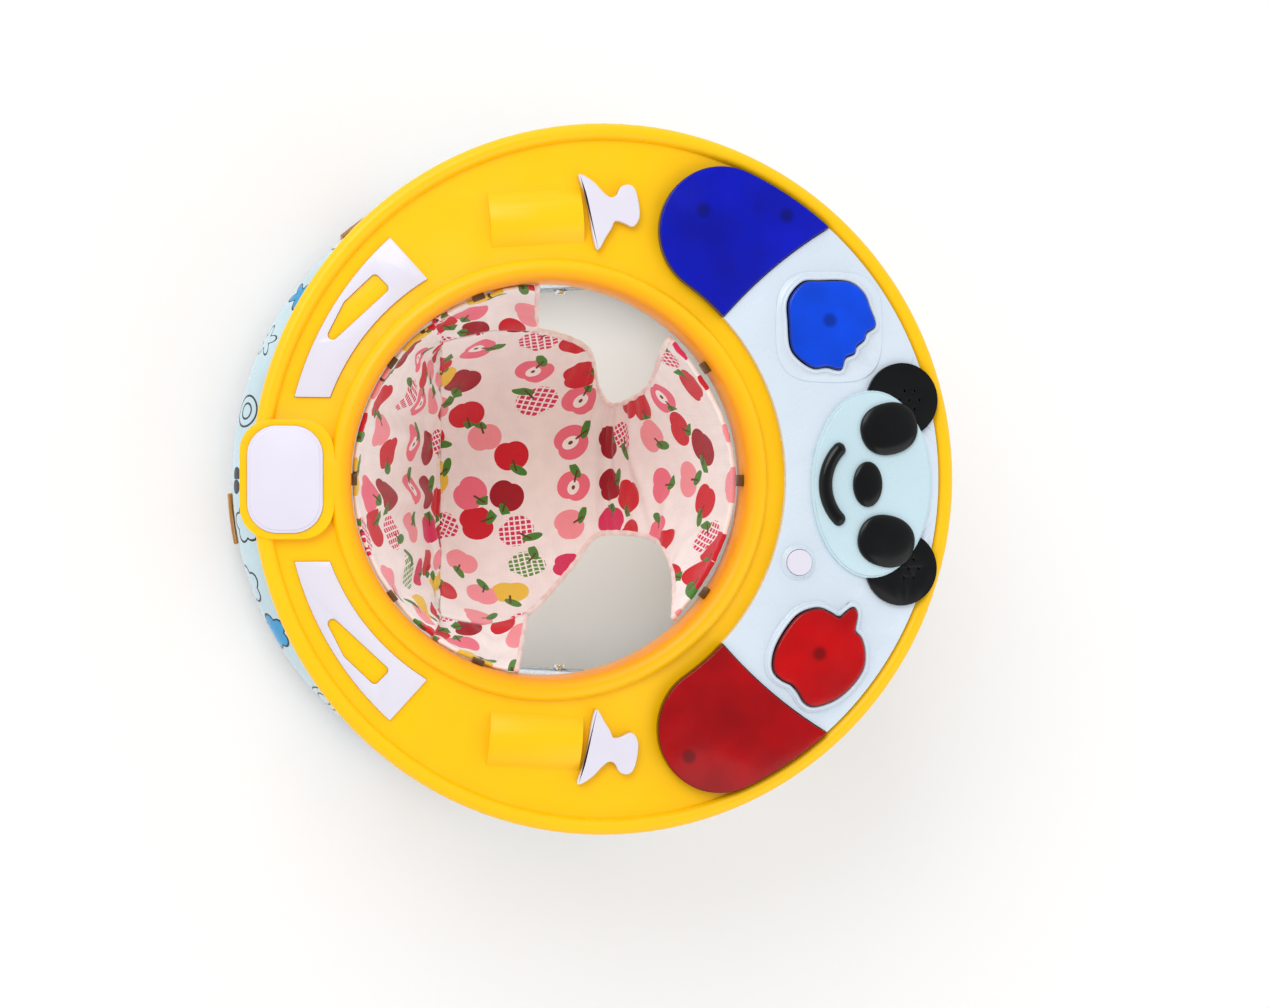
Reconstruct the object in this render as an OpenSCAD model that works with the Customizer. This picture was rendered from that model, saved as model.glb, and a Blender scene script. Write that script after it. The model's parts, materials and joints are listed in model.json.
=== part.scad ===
// Round baby walker: a moulded tray with a hung cloth seat stands on an X of two folding
// tube frames, which rise from a ring base on six swivel casters.
// +X is forward, +Y is the child's left, +Z is up, and the floor is z = 0.

/* [Tray] */
// Outer radius of the tray
tray_r = 300; // [290:1:320]
// Height of the tray's deck above the floor
deck_z = 430; // [425:1:500]
// Wall thickness of the mouldings
wall = 3; // [2.5:0.1:3.5]
// Radius of the bead round the tray's rim
rim_bead = 7; // [5:0.5:8]
// Radius of the seat opening
opening_r = 167; // [150:1:170]
// How far the seat opening lies behind the tray's centre
opening_back = 53; // [45:1:60]
// Radius of the rolled lip round the seat opening
lip_r = 9; // [7:0.5:10]
// Height of the hollow between the deck and the underside cover
hollow_h = 23; // [22:1:30]

/* [Toy panel] */
// Outer radius of the toy panel
panel_r = 285; // [280:1:286]
// Inner radius of the toy panel, about the seat opening
panel_in_r = 200; // [195:1:204]
// Radius of the panel's rounded ends
panel_end_r = 55.3; // [50:0.1:58]
// Height of the toy panel above the deck
panel_h = 8; // [6:0.5:10]
// Height of the coloured end caps above the deck
cap_h = 11; // [9:0.5:13]
// Travel of the press buttons
press = 3; // [2:0.5:3]
// Gap round each press button
button_gap = 0.4; // [0.3:0.05:0.5]
// Half length of the animal face, fore and aft
face_a = 54; // [48:1:56]
// Half width of the animal face
face_b = 81; // [75:1:83]
// Radius of the animal's ears
ear_r = 32; // [28:1:33]

/* [Frame] */
// Outer diameter of the leg tubes
tube_d = 16; // [14:0.5:18]
// Wall thickness of the leg tubes
tube_t = 1.2; // [1:0.1:1.5]
// Half the distance between the inner frame's side tubes
inner_y = 187; // [185:1:195]
// Height between the lower and the upper frame pivots when the walker stands
rise = 290; // [280:1:320]
// Distance along X between the lower and the upper end of each side tube
run = 310; // [300:1:315]
// Distance of the fixed frame pivots behind the tray's centre
pivot_back = 175; // [170:1:178]
// Furthest slide of the free tube ends when the walker folds
slide_travel = 90; // [80:1:92]
// Diameter of the frame pins
pin_d = 8; // [6:0.5:8]
// Forward sweep of the lower cross bow
bow_sweep = 80; // [70:1:84]

/* [Base] */
// Outer radius of the ring base
base_r = 330; // [325:1:345]
// Inner radius of the ring base
base_in_r = 225; // [215:1:230]
// Height of the ring base's lower edge above the floor
base_z = 24; // [20:1:28]
// Height of the ring base's flat top
base_top = 88; // [86:1:92]
// Radius of the ring base's outer shoulder
shoulder = 24; // [16:1:30]
// Thickness of the printed cover on the ring base
skin = 0.8; // [0.5:0.1:1.2]
// Number of casters
caster_n = 6; // [6:1:6]
// Turn of the caster pattern about the ring
caster_turn = 7; // [0:1:14]
// Distance of the casters from the ring's centre
caster_at = 280; // [276:1:284]
// Radius of the caster wheels
wheel_r = 22; // [20:0.5:22]
// Width of the caster wheels
wheel_w = 18; // [14:0.5:20]
// Trail of the caster wheels behind their stems
trail = 14; // [12:0.5:14]

/* [Seat] */
// Depth of the seat's underside below the deck
seat_depth = 225; // [200:1:230]
// Thickness of the padded seat cloth
cloth = 6; // [4:0.5:8]

/* [Hidden] */
$fn = 96;

tray_yellow = "#ffc400";
panel_white = "#dfe9ee";
chrome = "#c9ced3";
base_blue = "#a9c2cc";
amber = "#8a5a1c";

// Running clearances: pins in bores, pieces laid in pockets, and pieces passing one another
pin_gap = 0.05;
lay_gap = 0.3;
pass_gap = 0.5;
eps = 0.01;

// Heights in the tray
cover_top = deck_z - wall - hollow_h;
cover_z = cover_top - wall;
panel_z = deck_z + panel_h;
cap_z = deck_z + cap_h;
tube_r = tube_d / 2;
outer_y = inner_y + tube_d + 2;
rack_room = 6;
upper_z = cover_z - rack_room - tube_r;
lower_z = upper_z - rise;
free_x = run - pivot_back;
arm = norm([run, rise]);
arm_angle = atan2(rise, run);
eye_r = min(tube_r + 1.5, lower_z - base_top - skin - lay_gap);
stub_in = eye_r + 2;
centre = [-opening_back, 0];
surround_h = 4.5;
button_z = panel_z + surround_h + press + 0.5;
flange_z = panel_z - wall - 0.2;
board_z = cover_top + 6;
board_t = 1.6;

// A stretch of circle as points, for outlines
function arc(c, r, a0, a1, n = 12) =
    [for (i = [0 : n]) c + r * [cos(a0 + (a1 - a0) * i / n), sin(a0 + (a1 - a0) * i / n)]];
function oval(a, b, n = 72) = [for (i = [0 : n - 1]) [a * cos(360 * i / n), b * sin(360 * i / n)]];

module both_sides() {
    children();
    mirror([0, 1, 0]) children();
}

module cyl_y(r, y0, y1) {
    translate([0, y1, 0]) rotate([90, 0, 0]) cylinder(r = r, h = y1 - y0);
}

module plate(z0, z1) {
    translate([0, 0, z0]) linear_extrude(height = z1 - z0) children();
}

module at_casters() {
    for (i = [1 : caster_n]) at_caster(i) children();
}

module at_caster(i) {
    rotate(caster_turn + 360 / caster_n * (i - 1)) translate([caster_at, 0, 0]) children();
}

// ---------------------------------------------------------------- ring base

// Section of the ring base, grown outward by g on its outer, top and inner faces
module base_section(g) {
    polygon(concat(
        [[base_in_r - g, base_z], [base_r + g, base_z]],
        arc([base_r - shoulder, base_top - shoulder], shoulder + g, 0, 90),
        arc([base_in_r + 8, base_top - 8], 8 + g, 90, 180, 6)));
}

stop_at = [for (i = [0 : caster_n - 1]) caster_turn + 360 / caster_n * (i + 0.5)];
stop_w = 16;
stop_in = base_r - wall - 18;

module base_ring() {
    boss_r = 12;
    rib_h = 26;
    rib_from = base_in_r + 6;
    rib_to = base_r - shoulder + 4;
    color(base_blue) difference() {
        union() {
            rotate_extrude() difference() {
                base_section(0);
                translate([0, -eps]) base_section(-wall);
                translate([base_in_r + wall, base_z - 1]) square([base_r - base_in_r - 2 * wall, wall]);
            }
            at_casters() {
                translate([0, 0, yoke_top + pass_gap])
                    cylinder(r = boss_r, h = base_top - wall / 2 - yoke_top - pass_gap);
                translate([-caster_at + rib_from, -wall / 2, base_top - rib_h])
                    cube([rib_to - rib_from, wall, rib_h - wall / 2]);
            }
            for (a = stop_at) rotate(a - stop_w / 2)
                rotate_extrude(angle = stop_w)
                    translate([stop_in, base_z + 1]) square([base_r - wall / 2 - stop_in, wall]);
        }
        at_casters() translate([0, 0, base_z])
            cylinder(r = pin_d / 2 + pin_gap, h = stem_top - base_z + 1);
    }
}

module base_print_cover() {
    color("#b9cdd4") rotate_extrude() difference() {
        base_section(skin);
        base_section(0);
        square([base_in_r + 8, base_top * 2]);
        square([base_r * 2, base_z + 6]);
    }
}

module rim_bumpers() {
    pad_w = 9;
    pad_t = 5;
    color(amber) for (i = [1 : caster_n])
        rotate(caster_turn + 360 / caster_n * (i - 1) - pad_w / 2)
            rotate_extrude(angle = pad_w) translate([base_r + skin + pin_gap, base_z + 8])
                polygon(concat([[0, 0], [pad_t - 2, 0], [pad_t, 3]],
                    arc([pad_t - 3, 27], 3, 0, 90, 5), [[0, 30]]));
}

module stop_pads() {
    color("#2b2b2d") for (a = stop_at) rotate(a - stop_w / 2 + 1)
        rotate_extrude(angle = stop_w - 2)
            translate([stop_in + 1, base_z - 6]) square([base_r - wall - stop_in - 2, 7]);
}

// ---------------------------------------------------------------- frame brackets

cheek_t = 3.5;
bracket_base = base_top + skin;

// Cheeks on both sides of a side tube whose middle plane is at y
module cheeks(y, t = cheek_t) {
    for (s = [-1, 1])
        translate([0, y + s * (tube_r + pass_gap + t / 2) + t / 2, 0])
            rotate([90, 0, 0]) linear_extrude(height = t) children();
}

module foot_plate(x0, x1, y, t = 2) {
    half = tube_r + pass_gap + cheek_t + 5;
    translate([x0, y - half, bracket_base]) difference() {
        cube([x1 - x0, 2 * half, t]);
        for (x = [6, x1 - x0 - 6], v = [2.6, 2 * half - 2.6])
            translate([x, v, -1]) cylinder(r = 1.6, h = t + 2);
    }
}

module base_pivot_brackets() {
    x0 = -pivot_back - 15;
    x1 = -pivot_back + 15;
    color("#8d9398") both_sides() difference() {
        union() {
            difference() {
                foot_plate(x0, x1, inner_y, 2);
                translate([-pivot_back, inner_y, lower_z]) cyl_y(eye_r + pass_gap, -tube_r - 1, tube_r + 1);
            }
            cheeks(inner_y) union() {
                translate([x0 + 3, bracket_base]) square([x1 - x0 - 6, lower_z - bracket_base]);
                translate([-pivot_back, lower_z]) circle(lower_z - bracket_base);
            }
        }
        translate([-pivot_back, 0, lower_z]) cyl_y(pin_d / 2 + pin_gap, inner_y - 20, inner_y + 20);
    }
}

module pin(y, x, z) {
    half = tube_r + pass_gap + cheek_t;
    translate([x, y, z]) {
        cyl_y(pin_d / 2, -half - 0.1, half + 0.1);
        for (s = [-1, 1])
            translate([0, s * (half + 1.1), 0]) cyl_y(pin_d / 2 + 2, -1, 1);
    }
}

module base_hardware() {
    half = tube_r + pass_gap + cheek_t + 5;
    color(chrome) both_sides() {
        pin(inner_y, -pivot_back, lower_z);
        for (x = [-pivot_back - 9, -pivot_back + 9], v = [2.6 - half, half - 2.6])
            translate([x, inner_y + v, bracket_base + 2]) cylinder(r = 2.4, h = 1.6);
        for (x = guide_screws)
            translate([x, guide_y + guide_t + 6, bracket_base + 2]) cylinder(r = 2.4, h = 1.6);
    }
}

// Long slots outside the frame that carry the outer frame's lower pins
guide_t = 5;
guide_y = outer_y + tube_r + pass_gap;

module slide_guides() {
    x0 = free_x - 11;
    x1 = free_x + slide_travel + 7;
    slot_r = pin_d / 2 + 0.4;
    color("#8d9398") both_sides() difference() {
        union() {
            translate([0, guide_y + guide_t, 0]) rotate([90, 0, 0])
                linear_extrude(height = guide_t) difference() {
                    translate([x0, bracket_base]) square([x1 - x0, lower_z + 10 - bracket_base]);
                    for (x = [free_x, free_x + slide_travel]) translate([x, lower_z]) circle(slot_r);
                    translate([free_x, lower_z - slot_r]) square([slide_travel, 2 * slot_r]);
                }
            difference() {
                translate([x0, guide_y, bracket_base]) cube([x1 - x0, guide_t + 12, 2]);
                for (x = guide_screws) translate([x, guide_y + guide_t + 6, 0]) cylinder(r = 1.6, h = 200);
            }
        }
        translate([0, 0, bracket_base - 1]) difference() {
            cylinder(r = base_r + 50, h = 40);
            translate([0, 0, -1]) cylinder(r = base_r - 6, h = 42);
        }
    }
}

guide_screws = [free_x - 4, free_x + 24, free_x + 52];

// ---------------------------------------------------------------- casters

yoke_top = 2 * wheel_r + 6;
stem_top = base_top - wall - 6;
yoke_t = 2.5;
axle_r = 3;

module caster_yoke(i) {
    side = wheel_w / 2 + 0.6;
    color("#d9dde0") at_caster(i) difference() {
        union() {
            translate([0, 0, yoke_top - wall]) {
                cylinder(r = 14, h = wall);
                translate([-4, -side - yoke_t, 0]) cube([14, 2 * (side + yoke_t), wall]);
            }
            translate([0, 0, yoke_top - eps]) cylinder(r = pin_d / 2, h = stem_top - yoke_top);
            for (s = [-1, 1])
                translate([0, s * (side + yoke_t / 2) + yoke_t / 2, 0]) rotate([90, 0, 0])
                    linear_extrude(height = yoke_t) {
                        polygon([[-4, yoke_top - 1], [10, yoke_top - 1],
                            [trail + 6.5, wheel_r + 2], [trail - 6.5, wheel_r]]);
                        translate([trail, wheel_r]) circle(6.8);
                    }
        }
        translate([trail, 0, wheel_r]) cyl_y(axle_r + pin_gap, -30, 30);
    }
}

module caster_axle(i) {
    half = wheel_w / 2 + 0.6 + yoke_t;
    color(chrome) at_caster(i) translate([trail, 0, wheel_r]) {
        cyl_y(axle_r, -half - 0.1, half + 0.1);
        for (s = [-1, 1]) translate([0, s * (half + 0.85), 0]) cyl_y(axle_r + 1.8, -0.75, 0.75);
    }
}

module caster_wheel(i) {
    hub_half = wheel_w / 2;
    color(amber) at_caster(i) translate([trail, 0, wheel_r]) rotate([90, 0, 0]) rotate_extrude()
        polygon(concat(
            [[axle_r + pin_gap, -hub_half], [axle_r + 3.5, -hub_half], [axle_r + 4.5, -hub_half + 3],
             [wheel_r - 6, -hub_half + 3], [wheel_r - 5, -hub_half]],
            arc([wheel_r - 3, -hub_half + 3], 3, -90, 0, 5),
            arc([wheel_r - 3, hub_half - 3], 3, 0, 90, 5),
            [[wheel_r - 5, hub_half], [wheel_r - 6, hub_half - 3], [axle_r + 4.5, hub_half - 3],
             [axle_r + 3.5, hub_half], [axle_r + pin_gap, hub_half]]));
}

// ---------------------------------------------------------------- folding frame

bend_r = 32;

// The frame of an arm: its X axis runs up the arm from a lower pivot at x
module along_arm(x, z, angle) {
    translate([x, 0, z]) rotate([0, -angle, 0]) children();
}

module straight(from, to, y, r) {
    translate([from, y, 0]) rotate([0, 90, 0]) cylinder(r = r, h = to - from);
}

// The inner frame is a U: two side tubes joined by a bar across the top, bored out to leave its wall
module inner_leg_tube() {
    bore = tube_r - tube_t;
    color(chrome) along_arm(-pivot_back, lower_z, arm_angle) difference() {
        union() {
            both_sides() tube_piece(stub_in, arm - bend_r, inner_y, bore);
            both_sides() translate([arm - bend_r, inner_y - bend_r, 0])
                rotate_extrude(angle = 90) translate([bend_r, 0]) ring2d(bore);
            translate([arm, 0, 0]) difference() {
                cyl_y(tube_r, -inner_y + bend_r, inner_y - bend_r);
                cyl_y(bore, -inner_y + bend_r, inner_y - bend_r);
            }
        }
        translate([arm / 2, 0, 0]) cyl_y(pin_d / 2 + pin_gap, -inner_y - 20, inner_y + 20);
    }
}

module ring2d(bore) {
    difference() {
        circle(tube_r);
        circle(bore);
    }
}

module tube_piece(from, to, y, bore) {
    difference() {
        straight(from, to, y, tube_r);
        straight(from, to, y, bore);
    }
}

// Moulded end: an eye on the pin and a spigot up the tube
module tube_end(x, z, y, angle) {
    translate([x, y, z]) difference() {
        union() {
            cyl_y(eye_r, -tube_r, tube_r);
            rotate([0, 90 - angle, 0]) {
                cylinder(r = tube_r - 0.4, h = stub_in);
                cylinder(r = tube_r - tube_t - 0.1, h = stub_in + 18);
            }
        }
        cyl_y(pin_d / 2 + pin_gap, -30, 30);
    }
}

module inner_leg_ends() {
    color("#3a3d42") both_sides() tube_end(-pivot_back, lower_z, inner_y, arm_angle);
}

// The lower bow of the outer frame, an arc from one lower pin to the other
bow_half = outer_y;
bow_r = (bow_half * bow_half + bow_sweep * bow_sweep) / (2 * bow_sweep);
bow_angle = asin(bow_half / bow_r);

module bow(r) {
    translate([free_x + bow_sweep - bow_r, 0, lower_z]) rotate(-bow_angle)
        rotate_extrude(angle = 2 * bow_angle) translate([bow_r, 0]) circle(r);
}

// The bow stops at the moulded ends, whose spigots it slides over
bow_end = outer_y - tube_r - lay_gap;

module bow_stretch(r, from, to) {
    intersection() {
        bow(r);
        translate([0, from, lower_z - 30]) cube([600, to - from, 60]);
    }
}

module outer_leg_tube() {
    bore = tube_r - tube_t;
    color(chrome) {
        both_sides() difference() {
            along_arm(free_x, lower_z, 180 - arm_angle) tube_piece(stub_in, arm - stub_in, outer_y, bore);
            translate([free_x - run / 2, 0, lower_z + rise / 2])
                cyl_y(pin_d / 2 + pin_gap, outer_y - 20, outer_y + 20);
        }
        difference() {
            bow_stretch(tube_r, -bow_end, bow_end);
            bow(bore);
        }
    }
}

module outer_leg_ends() {
    spigot_l = 18;
    color("#3a3d42") both_sides() {
        tube_end(-pivot_back, upper_z, outer_y, -arm_angle);
        difference() {
            union() {
                tube_end(free_x, lower_z, outer_y, 180 - arm_angle);
                bow_stretch(tube_r - tube_t - 0.25, bow_end - spigot_l, outer_y - tube_r + 1);
            }
            translate([free_x, outer_y, lower_z]) cyl_y(pin_d / 2 + pin_gap, -tube_r - 1, tube_r + 1);
        }
    }
}

module outer_leg_hardware() {
    washer_t = outer_y - inner_y - tube_d - 0.4;
    color(chrome) both_sides() {
        translate([free_x - run / 2, 0, lower_z + rise / 2]) {
            cyl_y(pin_d / 2, inner_y - tube_r - 1.2, outer_y + tube_r + 1.2);
            translate([0, inner_y - tube_r - 2.2, 0]) cyl_y(pin_d / 2 + 2, -1, 1);
            translate([0, outer_y + tube_r + 2.2, 0]) cyl_y(pin_d / 2 + 2, -1, 1);
            difference() {
                translate([0, inner_y + tube_r + 0.2, 0]) cyl_y(tube_r - 1, 0, washer_t);
                cyl_y(pin_d / 2 + pin_gap, inner_y, outer_y);
            }
        }
        translate([free_x, 0, lower_z]) {
            cyl_y(pin_d / 2, outer_y - tube_r, guide_y + guide_t + 0.5);
            translate([0, guide_y + guide_t + 1.5, 0]) cyl_y(pin_d / 2 + 2, -1, 1);
        }
    }
}

// ---------------------------------------------------------------- tray

badge_at = [-273, 0];

module rounded(a, b, r) {
    square([a, b - 2 * r], center = true);
    square([a - 2 * r, b], center = true);
    for (s = [-1, 1], t = [-1, 1]) translate([s * (a / 2 - r), t * (b / 2 - r)]) circle(r);
}

// Crescent of the toy panel, drawn in by g all round; its ends are circles tangent to both arcs
end_x = ((panel_in_r + panel_end_r) * (panel_in_r + panel_end_r)
    - (panel_r - panel_end_r) * (panel_r - panel_end_r) - opening_back * opening_back)
    / (2 * opening_back);
end_y = sqrt((panel_r - panel_end_r) * (panel_r - panel_end_r) - end_x * end_x);
end_c = [end_x, end_y];
out_dir = end_c / norm(end_c);
in_dir = (end_c - centre) / norm(end_c - centre);

module crescent(g) {
    touch_out = out_dir * panel_r;
    touch_in = centre + in_dir * panel_in_r;
    difference() {
        intersection() {
            circle(panel_r - g);
            union() {
                both_sides() translate(end_c) circle(panel_end_r - g);
                polygon([touch_in, touch_out, touch_out + [40, 60], [400, 400], [400, -400],
                    [touch_out.x + 40, -touch_out.y - 60], [touch_out.x, -touch_out.y],
                    [touch_in.x, -touch_in.y]]);
            }
        }
        translate(centre) circle(panel_in_r + g);
    }
}

// The seam between the white panel and a cap bows a little into the cap
seam_r = 400;
seam_c = [392.7, -124.5];

module panel_outline(g) {
    intersection() {
        crescent(g);
        translate(seam_c) circle(seam_r - g);
        translate([seam_c.x, -seam_c.y]) circle(seam_r - g);
    }
}

module cap_outline(g) {
    difference() {
        intersection() {
            crescent(g);
            translate([0, 200]) square([700, 400], center = true);
        }
        translate(seam_c) circle(seam_r + g);
    }
}

module d_outline(g) {
    inlay_end = 67;
    difference() {
        intersection() {
            circle(274 - g);
            polygon([[-290, inlay_end + g], [-200, inlay_end + g], [-150, 158 + g],
                [-156 - g, 163], [-190 - 0.7 * g, 200 - 0.7 * g], [-290, 260]]);
        }
        translate(centre) circle(196 + g);
    }
}

module d_hole(g) {
    hull() {
        for (p = [[-201, 164], [-194, 157], [-235, 118]]) translate(p) circle(4 - g, $fn = 32);
        translate([-222, 142]) circle(5 - g, $fn = 32);
    }
}

bottle_at = [-68, 219];
bottle_turn = 5;
teat_turn = 14;

module bottle_relief() {
    half_w = 23;
    relief_h = 9;
    relief_r = (half_w * half_w + relief_h * relief_h) / (2 * relief_h);
    translate([bottle_at.x, bottle_at.y, 0]) rotate(bottle_turn) intersection() {
        translate([-39, 0, deck_z + relief_h - relief_r]) rotate([0, 90, 0])
            cylinder(r = relief_r, h = 78);
        translate([-39, -half_w, deck_z - wall]) cube([78, 2 * half_w, wall + relief_h + 1]);
    }
}

module bottle_teat() {
    translate([-26, 226.5, deck_z]) rotate([0, 0, teat_turn]) {
        intersection() {
            translate([0, 0, -6]) rotate([0, 90, 0]) union() {
                cylinder(r1 = 30, r2 = 20, h = 12);
                translate([0, 0, 10]) cylinder(r = 14, h = 14);
                translate([0, 0, 24]) cylinder(r1 = 14, r2 = 19, h = 5);
                translate([0, 0, 28.9]) cylinder(r1 = 19, r2 = 12, h = 11);
            }
            translate([0, -40, lay_gap]) cube([60, 80, 8]);
        }
    }
}

screw_ring = 278;
module at_screws() {
    for (a = [-150, -118, -62, -28, 28, 62, 118, 150]) rotate(a) translate([screw_ring, 0, 0]) children();
    for (a = [-100, -50, 50, 100]) translate(centre) rotate(a)
        translate([opening_r + 15, 0, 0]) children();
}

module tray_shell() {
    color(tray_yellow) difference() {
        union() {
            rotate_extrude() {
                translate([0, deck_z - wall]) square([tray_r - rim_bead, wall]);
                translate([tray_r - rim_bead, deck_z]) circle(rim_bead);
                translate([tray_r - wall, cover_z]) square([wall, deck_z - cover_z]);
            }
            translate(centre) rotate_extrude() {
                translate([opening_r, cover_z - 2]) square([wall, deck_z - cover_z + 2]);
                translate([opening_r + lip_r, deck_z + 1]) circle(lip_r);
            }
            translate([badge_at.x + 1.5, 0, 0]) plate(deck_z - 18, deck_z + 8) rounded(75, 97, 26);
            both_sides() bottle_relief();
            at_screws() plate(cover_top, deck_z - wall / 2) circle(5);
        }
        translate([-opening_back, 0, cover_z - 10]) cylinder(r = opening_r, h = 80);
        plate(deck_z - wall - 1, deck_z + 1) crescent(4);
        translate([0, 0, deck_z]) linear_extrude(height = 20) crescent(-0.5);
        both_sides() plate(deck_z - 1.2, deck_z + 30) difference() {
            d_outline(-lay_gap);
            d_hole(lay_gap);
        }
        plate(deck_z + 6, deck_z + 20) translate(badge_at) rounded(60 + 2 * lay_gap, 87 + 2 * lay_gap, 24 + lay_gap);
        plate(deck_z - 40, deck_z + 3) translate([badge_at.x + 7, 0]) rounded(46, 80, 18);
        at_screws() plate(cover_z - 1, cover_top + 14) circle(1.8);
    }
}

module tray_underside() {
    color(tray_yellow) difference() {
        union() {
            plate(cover_z, cover_top) difference() {
                circle(tray_r - wall - lay_gap);
                translate(centre) circle(opening_r + wall + lay_gap);
                translate(battery_at) square([door_x, door_y], center = true);
            }
            for (p = board_posts) translate(p) plate(cover_top - eps, board_z) circle(3);
        }
        at_screws() plate(cover_z - 1, cover_top + 1) circle(1.9);
        plate(cover_z - 1, cover_top + 1) translate([badge_at.x + 7, 0]) rounded(46.6, 80.6, 18);
    }
}

module underside_screws() {
    color(chrome) at_screws() {
        plate(cover_z - 2.2, cover_z) circle(3.6);
        plate(cover_z - eps, cover_top + 13) circle(1.75);
    }
}

module tray_pivot_brackets() {
    x0 = -pivot_back - 13;
    x1 = -pivot_back + 13;
    half = tube_r + pass_gap + cheek_t + 4;
    color("#8d9398") both_sides() difference() {
        union() {
            translate([x0, outer_y - half, cover_z - 2]) cube([x1 - x0, 2 * half, 2]);
            cheeks(outer_y) union() {
                translate([x0 + 2, upper_z]) square([x1 - x0 - 4, cover_z - upper_z]);
                translate([-pivot_back, upper_z]) circle(11);
            }
        }
        translate([-pivot_back, 0, upper_z]) cyl_y(pin_d / 2 + pin_gap, outer_y - 20, outer_y + 20);
    }
}

module tray_pivot_pins() {
    color(chrome) both_sides() pin(outer_y, -pivot_back, upper_z);
}

// Toothed slots under the tray, which sit on the inner frame's cross bar
rack_y = 142;
rack_t = 4;
rack_gap = 0.5;

module height_racks() {
    x0 = free_x - tube_r - 8;
    x1 = free_x + slide_travel + tube_r + 7;
    slot = tube_r + rack_gap;
    color("#3a3d42") both_sides() {
        translate([0, rack_y + rack_t / 2, 0]) rotate([90, 0, 0]) linear_extrude(height = rack_t)
            difference() {
                translate([x0, upper_z - slot - 5]) square([x1 - x0, cover_z - upper_z + slot + 5]);
                for (x = [free_x, free_x + slide_travel]) translate([x, upper_z]) circle(slot);
                translate([free_x, upper_z - slot]) square([slide_travel, 2 * slot]);
                for (k = [0 : 3]) translate([free_x + slide_travel * k / 3, upper_z + 3.5]) circle(slot);
            }
        translate([x0, rack_y - 8, cover_z - 1.5]) cube([x1 - x0, 16, 1.5]);
    }
}

module back_badge() {
    color("#dcdcec") translate(badge_at) {
        plate(deck_z + 6, deck_z + 10) rounded(60, 87, 24);
        plate(deck_z + 9.9, deck_z + 11) rounded(55, 82, 22);
    }
}

module back_inlays() {
    color("#e6e6ee") both_sides() plate(deck_z - 1.2, deck_z + 2.6) difference() {
        d_outline(0);
        d_hole(0);
    }
}

module bottle_teats() {
    color("#ececf2") both_sides() bottle_teat();
}

hook_angles = [0, 36, -36, 112, -112, 144, -144, 180];
hook_z = deck_z - 16;

module seat_hooks() {
    color("#4a2f1a") translate(centre) for (a = hook_angles) rotate(a)
        translate([opening_r - 5, -5, hook_z]) cube([4.8, 10, 9]);
}

// ---------------------------------------------------------------- toy panel

module toy_panel() {
    color(panel_white) difference() {
        plate(deck_z, panel_z) panel_outline(lay_gap);
        plate(deck_z - 1, panel_z - wall) panel_outline(lay_gap + wall);
        plate(deck_z, panel_z + 1) fruit_outline(button_gap);
        plate(deck_z, panel_z + 1) apple_outline(button_gap);
        translate([music_at.x, music_at.y, deck_z]) cylinder(r = music_r + button_gap, h = panel_h + 1);
        for (p = grille_holes) translate([p.x, p.y, deck_z]) cylinder(r = 1.3, h = panel_h + 1, $fn = 24);
    }
}

module cap(g) {
    difference() {
        plate(deck_z, cap_z) cap_outline(lay_gap);
        plate(deck_z - 1, cap_z - wall) cap_outline(lay_gap + wall);
    }
}

module blue_cap() {
    color("#0a1fb4") cap();
}

module red_cap() {
    color("#a00606") mirror([0, 1, 0]) cap();
}

fruit_at = [183, 137];
apple_at = [175, -148];
music_at = [158, -70];
music_r = 11;

// Rounded fruit with a scalloped calyx at one corner, grown by g
module fruit_outline(g) {
    translate(fruit_at) {
        hull() for (p = [[-17, -17], [-17, 17], [17, 17], [8, -17], [17, -6]])
            translate(p) circle(21 + g, $fn = 48);
        for (p = [[33, -18], [27, -28], [17, -34]]) translate(p) circle(6 + g, $fn = 32);
    }
}

// Apple with two shoulders, a notch and a short stem, grown by g
module apple_outline(g) {
    translate(apple_at) {
        hull() for (p = [[8, -15], [-16, -8], [-14, 12], [12, 14], [18, -4]])
            translate(p) circle(23 + g, $fn = 48);
        hull() {
            translate([24, 27]) circle(6 + g, $fn = 32);
            translate([31, 38]) circle(5 + g, $fn = 32);
        }
    }
}

module button_surrounds() {
    color("#f4f7fa") plate(panel_z, panel_z + surround_h) {
        difference() {
            fruit_outline(9);
            fruit_outline(button_gap);
        }
        difference() {
            apple_outline(6);
            apple_outline(button_gap);
        }
    }
}

module fruit_button() {
    color("#0f55dc") {
        plate(flange_z - 2, button_z) fruit_outline(0);
        plate(flange_z - 2, flange_z) fruit_outline(2);
    }
}

module apple_button() {
    color("#b00808") {
        plate(flange_z - 2, button_z) apple_outline(0);
        plate(flange_z - 2, flange_z) apple_outline(2);
    }
}

module music_button() {
    color("#eef2f4") translate([music_at.x, music_at.y, 0]) {
        plate(flange_z - 2, panel_z + press + 3) circle(music_r);
        plate(flange_z - 2, flange_z) circle(music_r + 2);
    }
}

// Coil spring between the circuit board and a button
spring_h = flange_z - 2 - board_z - board_t;
spring_turns = 4;

module coil(c, r, wire) {
    sides = 8;
    steps = 14 * spring_turns;
    run_h = spring_h - 2 * wire - 0.2;
    ring = [for (k = [0 : steps]) let (a = 360 * spring_turns * k / steps)
        for (j = [0 : sides - 1]) let (b = 360 * j / sides)
            [(r + wire * cos(b)) * cos(a), (r + wire * cos(b)) * sin(a),
             wire + run_h * k / steps + wire * sin(b)]];
    walls = [for (k = [0 : steps - 1]) for (j = [0 : sides - 1])
        let (p = k * sides + j, q = k * sides + (j + 1) % sides)
            [p, p + sides, q + sides, q]];
    first = [for (j = [0 : sides - 1]) j];
    last = [for (j = [sides - 1 : -1 : 0]) steps * sides + j];
    translate([c.x, c.y, board_z + board_t + 0.1]) polyhedron(ring, concat([first], walls, [last]));
}

module fruit_spring() {
    color(chrome) coil(fruit_at, 8, 0.6);
}

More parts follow.
